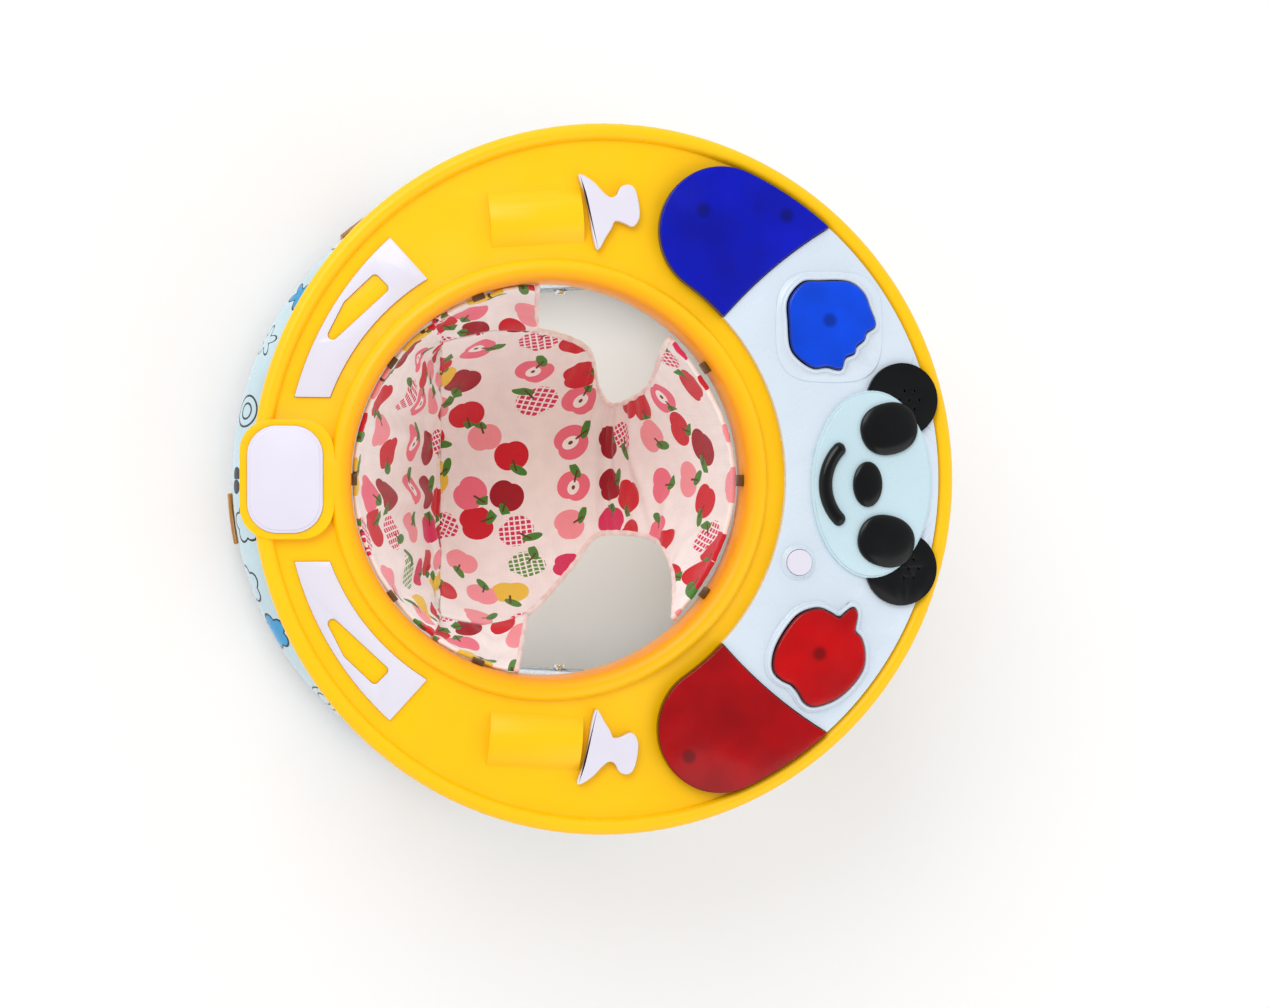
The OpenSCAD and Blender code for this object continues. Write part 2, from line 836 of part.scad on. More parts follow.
module apple_spring() {
    color(chrome) coil(apple_at, 8, 0.6);
}

module music_spring() {
    color(chrome) coil(music_at, 6, 0.5);
}

// ---------------------------------------------------------------- animal face

face_at = [223, -3];
face_h = 5;
ear_at = [[250, 70], [250, -76]];
grille_holes = [for (e = ear_at) for (k = [0 : 6])
    e + (k == 0 ? [6, 0] : [6, 0] + 9 * [cos(60 * k), sin(60 * k)])];

module panda_face() {
    color("#dff0f4") {
        plate(panel_z, panel_z + face_h - 1.5) translate(face_at) polygon(oval(face_a, face_b));
        plate(panel_z + face_h - 1.5 - eps, panel_z + face_h)
            translate(face_at) polygon(oval(face_a - 2, face_b - 2));
    }
}

module panda_ears() {
    color("#16191d") difference() {
        plate(panel_z, panel_z + face_h - 1) difference() {
            for (e = ear_at) translate(e) circle(ear_r);
            translate(face_at) polygon(oval(face_a + lay_gap, face_b + lay_gap));
        }
        for (p = grille_holes) translate([p.x, p.y, panel_z - 1]) cylinder(r = 1.3, h = 10, $fn = 24);
    }
}

module panda_features() {
    smile_r = 43;
    smile_half = 52;
    smile_x = 223.5;
    top = panel_z + face_h;
    color("#0c0f14") {
        plate(top, top + 2.5) {
            translate([237, 45]) polygon(oval(25.6, 22.4, 48));
            translate([235, -52]) polygon(oval(25.6, 22.4, 48));
            translate([218, -3]) polygon(oval(13, 19.5, 48));
            translate([smile_x, -3]) {
                intersection() {
                    difference() {
                        circle(smile_r + 6);
                        circle(smile_r - 6);
                    }
                    polygon([[0, 0], 100 * [cos(180 - smile_half), sin(180 - smile_half)], [-160, 0],
                        100 * [cos(180 + smile_half), sin(180 + smile_half)]]);
                }
                for (s = [-1, 1]) rotate(180 + s * smile_half) translate([smile_r, 0]) circle(6);
            }
        }
    }
}

// ---------------------------------------------------------------- electronics

battery_at = [236, 0];
door_x = 56;
door_y = 60;
speaker_at = [246, 66];
speaker_r = 25;
board_posts = [[158, 0], [188, 70], [172, 165], [188, -68], [150, -185], [210, 105]];

module speaker() {
    color("#26282b") translate([speaker_at.x, speaker_at.y, 0]) {
        translate([0, 0, cover_top]) cylinder(r = 15, h = 8);
        translate([0, 0, cover_top + 8 - eps]) cylinder(r1 = 12, r2 = speaker_r - 2, h = 9);
        translate([0, 0, cover_top + 17 - 2 * eps]) cylinder(r = speaker_r, h = 3);
    }
}

module circuit_board() {
    color("#1f6b3a") {
        plate(board_z, board_z + board_t) difference() {
            intersection() {
                circle(246);
                polygon([[0, 0], 400 * [cos(48), sin(48)], [400, 0], 400 * [cos(52), -sin(52)]]);
            }
            translate(centre) circle(panel_in_r);
            translate([battery_at.x + 20, 0]) square([door_x + 52, door_y + 12], center = true);
            translate(speaker_at) circle(speaker_r + 2);
        }
        translate([170, 30, board_z + board_t - eps]) cube([14, 14, 3]);
        translate([172, -30, board_z + board_t - eps]) cube([10, 18, 2.5]);
    }
}

module battery_box() {
    inner_h = 18;
    box_x = door_x + 2;
    box_y = door_y + 2;
    color("#2e3034") translate([battery_at.x, battery_at.y, cover_top]) difference() {
        translate([-box_x / 2 - 2, -box_y / 2 - 2, 0]) cube([box_x + 4, box_y + 4, inner_h + 2]);
        translate([-box_x / 2, -box_y / 2, -1]) cube([box_x, box_y, inner_h + 1]);
    }
    color("#c7a53a") for (k = [-1, 0, 1])
        translate([battery_at.x + 16 * k, 0, cover_top + 8.6]) {
            cyl_y(7.1, -25, 24);
            cyl_y(2.6, 23.9, 25.4);
        }
}

module battery_door() {
    color("#e0ac00") translate([battery_at.x, battery_at.y, 0]) {
        translate([-door_x / 2 + lay_gap, -door_y / 2 + lay_gap, cover_z])
            cube([door_x - 2 * lay_gap, door_y - 2 * lay_gap, wall]);
        for (k = [-1, 0, 1])
            translate([16 * k - 4, -20, cover_top - eps]) cube([8, 40, 1.2]);
    }
}

// ---------------------------------------------------------------- cloth seat

seat_top = hook_z - lay_gap;
seat_floor = deck_z - seat_depth;
floor_t = 2 * cloth;
// Radius of the cloth walls at the floor
seat_floor_r = 100;
// Azimuth where the back wall starts, mirrored where it ends
back_from = 97;
// Half of the front wall's angle
front_half = 45;
// Half the width of the cloth between the leg holes
neck = 58;

// A stretch of the hanging cloth wall: a cone round the opening's centre
module seat_wall(from, to) {
    translate(centre) rotate(from) rotate_extrude(angle = to - from)
        polygon([[opening_r - 0.5, seat_top], [opening_r - 0.5 - cloth, seat_top],
            [seat_floor_r - cloth, seat_floor + floor_t + lay_gap],
            [seat_floor_r, seat_floor + floor_t + lay_gap]]);
}

module seat_back() {
    color("#f0dcdc") seat_wall(back_from, 360 - back_from);
}

module seat_front() {
    color("#f0dcdc") seat_wall(-front_half, front_half);
}

module seat_bottom() {
    color("#ecd6d6") plate(seat_floor, seat_floor + floor_t) translate(centre) {
        intersection() {
            circle(seat_floor_r);
            polygon([[0, 0], base_r * [cos(back_from), sin(back_from)], [-2 * base_r, 0],
                base_r * [cos(back_from), -sin(back_from)]]);
        }
        intersection() {
            circle(seat_floor_r);
            polygon([[0, 0], [base_r, base_r], [base_r, -base_r]]);
        }
        translate([-30, -neck]) square([88, 2 * neck]);
    }
}

// ---------------------------------------------------------------- assembly

base_ring();
base_print_cover();
rim_bumpers();
stop_pads();
base_pivot_brackets();
base_hardware();
slide_guides();
for (i = [1 : caster_n]) {
    caster_yoke(i);
    caster_axle(i);
    caster_wheel(i);
}
inner_leg_tube();
inner_leg_ends();
outer_leg_tube();
outer_leg_ends();
outer_leg_hardware();
tray_shell();
tray_underside();
tray_pivot_brackets();
tray_pivot_pins();
height_racks();
underside_screws();
back_badge();
back_inlays();
bottle_teats();
seat_hooks();
toy_panel();
blue_cap();
red_cap();
button_surrounds();
panda_face();
panda_ears();
panda_features();
fruit_button();
apple_button();
music_button();
fruit_spring();
apple_spring();
music_spring();
speaker();
circuit_board();
battery_box();
battery_door();
seat_back();
seat_bottom();
seat_front();
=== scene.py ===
"""Looks of the round baby walker: materials, hung cloth seat, domed toy pieces, floor, light and camera."""
import json
import math

import bmesh
import bpy
from mathutils import Matrix, Vector


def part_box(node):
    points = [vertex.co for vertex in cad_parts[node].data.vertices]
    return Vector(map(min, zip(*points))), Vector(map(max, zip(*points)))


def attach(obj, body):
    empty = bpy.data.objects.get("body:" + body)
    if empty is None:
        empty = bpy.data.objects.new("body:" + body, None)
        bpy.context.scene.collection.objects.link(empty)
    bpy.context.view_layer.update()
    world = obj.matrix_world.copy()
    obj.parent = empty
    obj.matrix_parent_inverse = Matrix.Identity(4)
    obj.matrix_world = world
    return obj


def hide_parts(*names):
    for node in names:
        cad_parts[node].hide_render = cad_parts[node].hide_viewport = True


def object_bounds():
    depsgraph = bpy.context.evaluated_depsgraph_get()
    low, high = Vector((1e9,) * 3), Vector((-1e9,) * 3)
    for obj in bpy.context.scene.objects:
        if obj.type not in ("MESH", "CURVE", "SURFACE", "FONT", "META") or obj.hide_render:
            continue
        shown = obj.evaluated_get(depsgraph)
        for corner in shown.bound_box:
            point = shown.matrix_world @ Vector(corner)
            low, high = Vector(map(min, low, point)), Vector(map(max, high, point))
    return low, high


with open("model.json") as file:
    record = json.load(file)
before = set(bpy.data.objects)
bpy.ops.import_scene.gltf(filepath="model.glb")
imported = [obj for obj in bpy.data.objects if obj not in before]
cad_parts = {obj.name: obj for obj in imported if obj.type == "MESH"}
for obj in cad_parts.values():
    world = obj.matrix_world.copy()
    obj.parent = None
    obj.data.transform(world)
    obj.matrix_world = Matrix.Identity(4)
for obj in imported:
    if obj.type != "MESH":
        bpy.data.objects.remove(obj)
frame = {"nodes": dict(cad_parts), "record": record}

CAD_BOX = [list(corner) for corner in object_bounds()]
NODES = frame["nodes"]
PI = math.pi


def middle(node):
    """Centre of a CAD node's box."""
    low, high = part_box(node)
    return (low + high) / 2


MOUTH = middle("seat_hooks")            # centre of the seat opening
DECK_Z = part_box("toy_panel")[1].z       # top of the toy panel
SEAT_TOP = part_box("seat_back")[1].z     # where the cloth hangs from its hooks
COLLAR_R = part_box("seat_back")[1].y - 0.001   # middle of the hanging cloth at the collar
FRUIT_AT = (0.183, 0.137)               # middle of the blue fruit button
APPLE_AT = (0.175, -0.148)              # middle of the red apple button


# ---------------------------------------------------------------- material building

class Term:
    """A number inside a material; Python's operators on it add Math nodes."""

    def __init__(self, shader, socket):
        self.shader = shader
        self.socket = socket

    def math(self, operation, *others):
        node = self.shader.add("ShaderNodeMath", operation=operation)
        for slot, value in zip(node.inputs, (self,) + others):
            self.shader.feed(slot, value)
        return Term(self.shader, node.outputs[0])

    def __add__(self, other):
        return self.math("ADD", other)

    def __sub__(self, other):
        return self.math("SUBTRACT", other)

    def __mul__(self, other):
        return self.math("MULTIPLY", other)

    def __lt__(self, other):
        return self.math("LESS_THAN", other)

    def __gt__(self, other):
        return self.math("GREATER_THAN", other)

    def __abs__(self):
        return self.math("ABSOLUTE")

    def wrap(self):
        return self.math("FRACT")

    def both(self, other):
        return self.math("MULTIPLY", other)

    def either(self, other):
        return self.math("MAXIMUM", other)

    def between(self, low, high):
        """1 where the number lies between low and high, else 0."""
        return (self > low).both(self < high)

    def smooth(self, low, high):
        """0 at low to 1 at high, eased at both ends."""
        node = self.shader.add("ShaderNodeMapRange", interpolation_type="SMOOTHSTEP")
        self.shader.feed(node.inputs["Value"], self)
        self.shader.feed(node.inputs["From Min"], low)
        self.shader.feed(node.inputs["From Max"], high)
        return Term(self.shader, node.outputs["Result"])


class Shader:
    """One Principled material and short ways to add nodes to it."""

    def __init__(self, name, colour, rough, **constants):
        self.material = bpy.data.materials.new(name)
        self.material.use_nodes = True
        self.tree = self.material.node_tree
        self.bsdf = self.tree.nodes["Principled BSDF"]
        self.bsdf.inputs["Base Color"].default_value = (*colour, 1)
        self.bsdf.inputs["Roughness"].default_value = rough
        for socket, value in constants.items():
            self.bsdf.inputs[socket.replace("_", " ")].default_value = value
        self.place = self.add("ShaderNodeTexCoord").outputs["Object"]

    def add(self, kind, **settings):
        node = self.tree.nodes.new(kind)
        for name, value in settings.items():
            setattr(node, name, value)
        return node

    def feed(self, slot, value):
        """Links a socket or Term into slot, or writes a plain value there."""
        if isinstance(value, Term):
            value = value.socket
        if isinstance(value, bpy.types.NodeSocket):
            self.tree.links.new(value, slot)
        elif isinstance(value, (tuple, list)) and len(value) == 3 and slot.type == "RGBA":
            slot.default_value = (*value, 1)
        else:
            slot.default_value = value

    def axes(self, vector):
        node = self.add("ShaderNodeSeparateXYZ")
        self.feed(node.inputs[0], vector)
        return [Term(self, out) for out in node.outputs]

    def vector(self, x, y, z=0.0):
        node = self.add("ShaderNodeCombineXYZ")
        for slot, value in zip(node.inputs, (x, y, z)):
            self.feed(slot, value)
        return node.outputs[0]

    def vector_math(self, operation, a, b):
        node = self.add("ShaderNodeVectorMath", operation=operation)
        self.feed(node.inputs[0], a)
        self.feed(node.inputs[1], b)
        return node.outputs[0]

    def noise(self, scale, detail=3.0, vector=None):
        node = self.add("ShaderNodeTexNoise")
        self.feed(node.inputs["Vector"], vector or self.place)
        self.feed(node.inputs["Scale"], scale)
        self.feed(node.inputs["Detail"], detail)
        return Term(self, node.outputs["Fac"])

    def mix(self, amount, a, b):
        """Colour a where amount is 0, b where it is 1."""
        node = self.add("ShaderNodeMix", data_type="RGBA")
        self.feed(node.inputs["Factor"], amount)
        self.feed(node.inputs[6], a)
        self.feed(node.inputs[7], b)
        return node.outputs[2]

    def colour(self, value):
        self.feed(self.bsdf.inputs["Base Color"], value)

    def roughness(self, low, high, scale):
        self.feed(self.bsdf.inputs["Roughness"], self.noise(scale).smooth(0.25, 0.75) * (high - low) + low)

    def bump(self, height, depth, strength=1.0):
        node = self.add("ShaderNodeBump")
        self.feed(node.inputs["Height"], height)
        self.feed(node.inputs["Strength"], strength)
        self.feed(node.inputs["Distance"], depth)
        self.feed(self.bsdf.inputs["Normal"], node.outputs["Normal"])


def tint(colour, factor):
    return tuple(min(1.0, channel * factor) for channel in colour)


def linear(red, green, blue):
    """A 0 to 255 display colour as the linear colour that a shader takes."""
    shares = [channel / 255 for channel in (red, green, blue)]
    return tuple(((c + 0.055) / 1.055) ** 2.4 if c > 10 / 255 else c / 12.92 for c in shares)


def moulded(name, colour, rough=0.32, grain=0.00004, mottle=0.06, **constants):
    """Moulded plastic: faint cloudy colour, uneven gloss and a fine spark grain."""
    shader = Shader(name, colour, rough, **constants)
    cloud = shader.noise(9, 4).smooth(0.3, 0.7)
    shader.colour(shader.mix(cloud, tint(colour, 1 - mottle), tint(colour, 1 + mottle)))
    shader.roughness(rough - 0.05, rough + 0.07, 45)
    shader.bump(shader.noise(1400, 2), grain)
    return shader


YELLOW = linear(255, 196, 0)
# Deeper orange used as painted shade on the tray near the seat opening
SHADED_ORANGE = linear(243, 146, 0)
CREAM = linear(248, 241, 239)


def yellow_plastic():
    """Tray plastic with painted shade: a deeper orange where the wall turns down round the seat."""
    shader = moulded("yellow_plastic", YELLOW, 0.34, mottle=0.03, Specular_IOR_Level=0.3)
    x, y, _ = shader.axes(shader.place)
    across = x - MOUTH.x
    radius = (across * across + y * y).math("SQRT")
    # Painted shade: inside 0.158 m of the opening the yellow is a deeper orange, as in shadow, fading back to
    # plain yellow by 0.186 m
    painted_shade_fade = radius.smooth(0.158, 0.186)
    cloud = shader.noise(7, 4).smooth(0.3, 0.7)
    plain = shader.mix(cloud, tint(YELLOW, 0.97), tint(YELLOW, 1.02))
    shader.colour(shader.mix(painted_shade_fade, SHADED_ORANGE, plain))
    return shader.material


def clear_cap(name, colour, spots):
    """Tinted see-through plastic over dark screw bosses, with painted shade darkening its rolled edges."""
    shader = Shader(name, colour, 0.14, Coat_Weight=0.08, Coat_Roughness=0.04, Specular_IOR_Level=0.22)
    x, y, _ = shader.axes(shader.place)
    shade = shader.noise(16, 3).smooth(0.25, 0.8)
    tone = shader.mix(shade, tint(colour, 0.72), tint(colour, 1.2))
    for spot_x, spot_y in spots:
        dx, dy = x - spot_x, y - spot_y
        away = (dx * dx + dy * dy).math("SQRT")
        tone = shader.mix(away.smooth(0.0085, 0.003), tone, tint(colour, 0.45))
    # Painted shade: the colour darkens to a deep tone where the surface tilts away from straight up, round
    # the rolled edge
    upright = shader.axes(shader.add("ShaderNodeTexCoord").outputs["Normal"])[2]
    shader.colour(shader.mix(upright.smooth(0.985, 0.6), tone, tint(colour, 0.28)))
    shader.roughness(0.12, 0.24, 60)
    shader.bump(shader.noise(300, 2), 0.00006)
    return shader.material


def metal(name, colour, rough, brushed):
    """Plated or chromed steel with fine drawn lines and dull patches."""
    shader = Shader(name, colour, rough, Metallic=1.0)
    x, y, z = shader.axes(shader.place)
    lines = shader.noise(brushed, 2, shader.vector(x * 0.1, y, z * 0.4))
    shader.colour(shader.mix(lines.smooth(0.3, 0.7), tint(colour, 0.86), tint(colour, 1.05)))
    shader.roughness(rough - 0.04, rough + 0.12, 70)
    shader.bump(lines, 0.00004)
    return shader.material


def printed_film():
    """Glossy film on the ring with generic clouds, stars, rings and dots in line drawing."""
    paper, ink, blue = linear(190, 215, 224), linear(38, 42, 52), linear(40, 150, 205)
    shader = Shader("printed_film", paper, 0.22, Coat_Weight=0.4, Coat_Roughness=0.08)
    x, y, z = shader.axes(shader.place)
    turn = y.math("ARCTAN2", x)
    radius = (x * x + y * y).math("SQRT")
    ring_radius = 0.33
    around = turn * ring_radius
    outward = z + (radius.math("MULTIPLY_ADD", -1, ring_radius))
    flat = shader.vector(around, outward)
    per_metre = 16
    cells = shader.add("ShaderNodeTexVoronoi", voronoi_dimensions="2D")
    shader.feed(cells.inputs["Vector"], flat)
    shader.feed(cells.inputs["Scale"], per_metre)
    shader.feed(cells.inputs["Randomness"], 0.55)
    pick = shader.axes(cells.outputs["Color"])
    local = shader.vector_math("SUBTRACT", flat, cells.outputs["Position"])
    px, py, _ = shader.axes(local)
    px, py = px * per_metre, py * per_metre
    away = (px * px + py * py).math("SQRT")
    angle = py.math("ARCTAN2", px)
    puffs = (angle * 2.5).math("SINE")
    cloud_edge = abs(puffs) * 0.09 + 0.24
    star_edge = (angle * 5 + pick[1] * 6).math("COSINE") * 0.08 + 0.2
    cloud = abs(away - cloud_edge) < 0.022
    star = abs(away - star_edge) < 0.02
    ring = (abs(away - 0.26) < 0.018).either(abs(away - 0.13) < 0.018)
    dots = away < 0.12
    kind = pick[0]
    lines = cloud.both(kind < 0.4).either(star.both(kind.between(0.4, 0.66)))
    lines = lines.either(ring.both(kind.between(0.66, 0.85))).either(dots.both(kind > 0.85))
    filled = (away < star_edge).both(kind.between(0.55, 0.66)).either((away < cloud_edge).both(kind < 0.13))
    wash = shader.mix(shader.noise(11, 3).smooth(0.3, 0.7), tint(paper, 0.94), tint(paper, 1.04))
    shader.colour(shader.mix(lines, shader.mix(filled, wash, blue), ink))
    shader.roughness(0.18, 0.3, 30)
    shader.bump(shader.noise(260, 2), 0.00005)
    return shader.material


# Share of the printed apples, from 0 to 1, that has each colour; the rest are red
APPLE_TONES = ((0.28, 0.36, (160, 6, 30)), (0.36, 0.5, (238, 112, 134)), (0.5, 0.605, (214, 40, 92)),
               (0.605, 0.62, (92, 150, 60)), (0.62, 0.82, (244, 150, 160)), (0.9, 1.01, (236, 196, 60)))


def apple_cloth():
    """Cotton printed with apples and leaves: each cell of a loose grid holds one apple, turned at random."""
    per_metre = 23.0
    shader = Shader("apple_cloth", CREAM, 0.85, Sheen_Weight=0.25, Sheen_Roughness=0.5)
    flat = shader.add("ShaderNodeUVMap", uv_map="flat").outputs[0]
    cells = shader.add("ShaderNodeTexVoronoi", voronoi_dimensions="2D")
    shader.feed(cells.inputs["Vector"], flat)
    shader.feed(cells.inputs["Scale"], per_metre)
    shader.feed(cells.inputs["Randomness"], 0.6)
    kind, turn, size = shader.axes(cells.outputs["Color"])
    local = shader.vector_math("SUBTRACT", flat, cells.outputs["Position"])
    spin = shader.add("ShaderNodeVectorRotate", rotation_type="Z_AXIS")
    shader.feed(spin.inputs["Vector"], local)
    shader.feed(spin.inputs["Angle"], turn * 4.4 - 2.2)
    x, y, _ = shader.axes(spin.outputs[0])
    grow = size * -3.0 + per_metre * 0.9
    x, y = x * grow, y * grow
    lobe = abs(x) - 0.09
    high = y * 0.86
    fruit = (lobe * lobe + high * high).math("SQRT") < (y * 0.07 + 0.235)
    leaf_x, leaf_y = x * 0.77 + y * 0.64 - 0.27, y * 0.77 - x * 0.64 - 0.2
    leaf = (leaf_x * leaf_x * 30 + leaf_y * leaf_y * 150) < 1
    stem = (abs(x - y * 0.12) < 0.02).both(y.between(0.1, 0.34))
    core_x, core_y = x * 1.5, y * 1.15
    core_r = (core_x * core_x + core_y * core_y).math("SQRT")
    cut = kind.between(0.42, 0.5)
    core = core_r.between(0.05, 0.17).both(cut)
    seed = (core_r < 0.05).both(cut)
    lattice = abs((x * 7 + y * 7).wrap() - 0.5).math("MAXIMUM", abs((x * 7 - y * 7).wrap() - 0.5)) > 0.36
    holes = lattice.both(kind.between(0.52, 0.62))
    tone = linear(206, 12, 36)
    for low, high_end, dyed in APPLE_TONES:
        tone = shader.mix(kind.between(low, high_end), tone, linear(*dyed))
    dye = shader.noise(60, 3, flat).smooth(0.2, 0.8)
    ground = shader.mix(dye, tint(CREAM, 0.93), CREAM)
    colour = shader.mix(fruit, ground, tone)
    colour = shader.mix(core.either(holes).both(fruit), colour, CREAM)
    colour = shader.mix(seed.both(fruit), colour, linear(120, 60, 30))
    colour = shader.mix(leaf, colour, linear(70, 132, 44))
    colour = shader.mix(stem, colour, linear(90, 60, 30))
    shader.colour(colour)
    u, v, _ = shader.axes(flat)
    thread = 1400
    warp = abs((u * thread).math("SINE"))
    weft = abs((v * thread).math("SINE"))
    crease = shader.noise(24, 4, flat)
    shader.bump(warp * 0.1 + weft * 0.1 + crease, 0.0012)
    return shader.material


def glossy_black():
    """Glossy black plastic of the ears, eyes, nose and smile."""
    shader = moulded("black_gloss", linear(3, 4, 6), 0.18, grain=0.00002, mottle=0.2, Specular_IOR_Level=0.3)
    return shader.material


def green_board():
    """Circuit board lacquer with paler tracks."""
    shader = Shader("circuit_green", linear(20, 90, 45), 0.4)
    x, y, _ = shader.axes(shader.place)
    tracks = ((x * 220).wrap() < 0.16).either((y * 180).wrap() < 0.12)
    shader.colour(shader.mix(tracks, linear(18, 84, 42), linear(40, 120, 60)))
    shader.bump(tracks, 0.0001)
    return shader.material


# Screw bosses that show dark through the clear caps
CAP_SPOTS = {"blue": ((0.073, 0.228), (0.146, 0.226)), "red": ((0.062, -0.234),)}
AMBER = {"mottle": 0.12, "Coat_Weight": 0.3}
SATIN = {"mottle": 0.03, "Coat_Weight": 0.2}
PANEL = {"mottle": 0.03, "Coat_Weight": 0.3}

LOOKS = {
    "base_plastic": moulded("base_plastic", linear(186, 208, 218), 0.38).material,
    "printed_film": printed_film(),
    "amber_plastic": moulded("amber_plastic", linear(168, 112, 36), 0.22, **AMBER).material,
    "rubber": moulded("rubber_pad", linear(46, 46, 48), 0.7, grain=0.0001, mottle=0.15).material,
    "bracket_steel": metal("zinc_steel", linear(186, 190, 196), 0.34, 700),
    "chrome": metal("chrome", linear(222, 226, 230), 0.14, 900),
    "yoke_plastic": moulded("yoke_plastic", linear(210, 216, 222), 0.4).material,
    "dark_plastic": moulded("dark_plastic", linear(52, 54, 60), 0.45, mottle=0.12).material,
    "yellow_plastic": yellow_plastic(),
    "badge_plastic": moulded("badge_plastic", linear(222, 217, 232), 0.32, **SATIN).material,
    "white_plastic": moulded("white_plastic", linear(220, 216, 229), 0.32, **SATIN).material,
    "hook_plastic": moulded("hook_plastic", linear(92, 62, 30), 0.35, mottle=0.12).material,
    "panel_plastic": moulded("panel_plastic", linear(208, 220, 232), 0.26, **PANEL).material,
    "blue_clear": clear_cap("blue_clear", linear(0, 14, 172), CAP_SPOTS["blue"]),
    "red_clear": clear_cap("red_clear", linear(160, 0, 8), CAP_SPOTS["red"]),
    "face_plastic": moulded("face_plastic", linear(192, 217, 226), 0.26, **SATIN).material,
    "black_plastic": glossy_black(),
    "fruit_blue": clear_cap("fruit_blue", linear(0, 70, 220), (FRUIT_AT,)),
    "apple_red": clear_cap("apple_red", linear(180, 0, 6), (APPLE_AT,)),
    "board": green_board(),
    "seat_cloth": apple_cloth(),
}


def dress_cad():
    """Each CAD node gets its slot's material and a small moulded edge."""
    slots = {part["node"]: part["material_slot"] for part in frame["record"]["subparts"]}
    for name, node in NODES.items():
        node.data.materials.clear()
        node.data.materials.append(LOOKS[slots[name]])
        soften(node, EDGE.get(name, PLAIN_EDGE))


PLAIN_EDGE = 0.0007
# Radius of the rounded edges, where they are larger than a plain moulded edge
EDGE = {"blue_cap": 0.0028, "red_cap": 0.0028, "panda_face": 0.0024, "panda_ears": 0.0014,
        "toy_panel": 0.0016, "back_inlays": 0.0006, "back_badge": 0.0022, "music_button": 0.0016,
        "tray_shell": 0.0012, "base_ring": 0.0012, "rim_bumpers": 0.003, "battery_door": 0.001}
# Nodes whose flat faces are made whole first, so that the rounded edge stays even
WHOLE = ("blue_cap", "red_cap", "panda_face", "panda_ears", "back_inlays", "back_badge",
         "music_button", "battery_door", "rim_bumpers")


def soften(node, width):
    """Joins the imported corners, rounds the sharp edges and smooths the rest."""
    weld = node.modifiers.new("join", "WELD")
    weld.merge_threshold = 0.00002
    if node.name in WHOLE:
        flat = node.modifiers.new("whole_faces", "DECIMATE")
        flat.decimate_type = "DISSOLVE"
        flat.angle_limit = math.radians(1)
    bevel = node.modifiers.new("moulded_edge", "BEVEL")
    bevel.width = width
    bevel.segments = 4 if width > 0.001 else 2
    bevel.limit_method = "ANGLE"
    bevel.angle_limit = math.radians(38)
    bevel.harden_normals = True
    for polygon in node.data.polygons:
        polygon.use_smooth = True


# ---------------------------------------------------------------- mesh pieces

def mesh_piece(name, vertices, faces, material, body="tray"):
    mesh = bpy.data.meshes.new(name)
    mesh.from_pydata([tuple(v) for v in vertices], [], faces)
    mesh.materials.append(material)
    for polygon in mesh.polygons:
        polygon.use_smooth = True
    piece = bpy.data.objects.new(name, mesh)
    bpy.context.scene.collection.objects.link(piece)
    tidy = bmesh.new()
    tidy.from_mesh(mesh)
    bmesh.ops.recalc_face_normals(tidy, faces=tidy.faces)
    tidy.to_mesh(mesh)
    tidy.free()
    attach(piece, body)
    return piece


def ellipse(cx, cy, rx, ry, turn=0.0, power=1.0, steps=72):
    """Points of an ellipse, or of a rounder square when power is under 1."""
    points = []
    for k in range(steps):
        a = 2 * PI * k / steps
        c, s = math.cos(a), math.sin(a)
        x = rx * math.copysign(abs(c) ** power, c)
        y = ry * math.copysign(abs(s) ** power, s)
        points.append((cx + x * math.cos(turn) - y * math.sin(turn),
                       cy + x * math.sin(turn) + y * math.cos(turn)))
    return points


def skin(name, loops, material, body="tray"):
    """A closed skin over a stack of loops with equally many points, capped at both ends."""
    count = len(loops[0])
    vertices = [point for loop in loops for point in loop]
    faces = []
    for ring in range(len(loops) - 1):
        for k in range(count):
            n = (k + 1) % count
            faces.append((ring * count + k, ring * count + n, (ring + 1) * count + n, (ring + 1) * count + k))
    for base in (0, (len(loops) - 1) * count):
        loop = vertices[base:base + count]
        vertices.append(tuple(sum(point[axis] for point in loop) / count for axis in range(3)))
        faces += [(base + k, base + (k + 1) % count, len(vertices) - 1) for k in range(count)]
    return mesh_piece(name, vertices, faces, material, body=body)


def scaled(outline, share, z):
    """The outline drawn in towards its middle, at height z."""
    cx = sum(p[0] for p in outline) / len(outline)
    cy = sum(p[1] for p in outline) / len(outline)
    return [(cx + (x - cx) * share, cy + (y - cy) * share, z) for x, y in outline]


def dome(name, outline, low, edge, top, material):
    """A cap: straight up from low to edge, then rolled over to top."""
    rings = 10
    loops = [scaled(outline, 1.0, low), scaled(outline, 1.0, edge)]
    for k in range(1, rings):
        a = PI / 2 * k / rings
        loops.append(scaled(outline, math.cos(a) ** 0.8, edge + (top - edge) * math.sin(a)))
    return skin(name, loops, material)


def polar(points, steps=200, per_side=12):
    """Radii, at equal angles, of the smooth closed curve through points round the origin."""
    closed = [(*p, 0) for p in points[-2:] + points + points[:3]]
    curve = []
    for k in range(len(points) * per_side):
        t = (2 + k / per_side) / (len(closed) - 1)
        spot = along(closed, t)
        curve.append((math.atan2(spot.y, spot.x) % (2 * PI), math.hypot(spot.x, spot.y)))
    curve.sort()
    curve = [(curve[-1][0] - 2 * PI, curve[-1][1])] + curve + [(curve[0][0] + 2 * PI, curve[0][1])]
    radii, i = [], 0
    for k in range(steps):
        a = 2 * PI * k / steps
        while curve[i + 1][0] < a:
            i += 1
        (a0, r0), (a1, r1) = curve[i], curve[i + 1]
        radii.append(r0 + (r1 - r0) * (a - a0) / max(a1 - a0, 1e-9))
    return radii


def loop_at(centre, radii, grow, z):
    """A loop of points from radii in millimetres, grown by some millimetres, at height z in metres."""
    count = len(radii)
    return [(centre[0] + (r + grow) * 0.001 * math.cos(2 * PI * k / count),
             centre[1] + (r + grow) * 0.001 * math.sin(2 * PI * k / count), z) for k, r in enumerate(radii)]


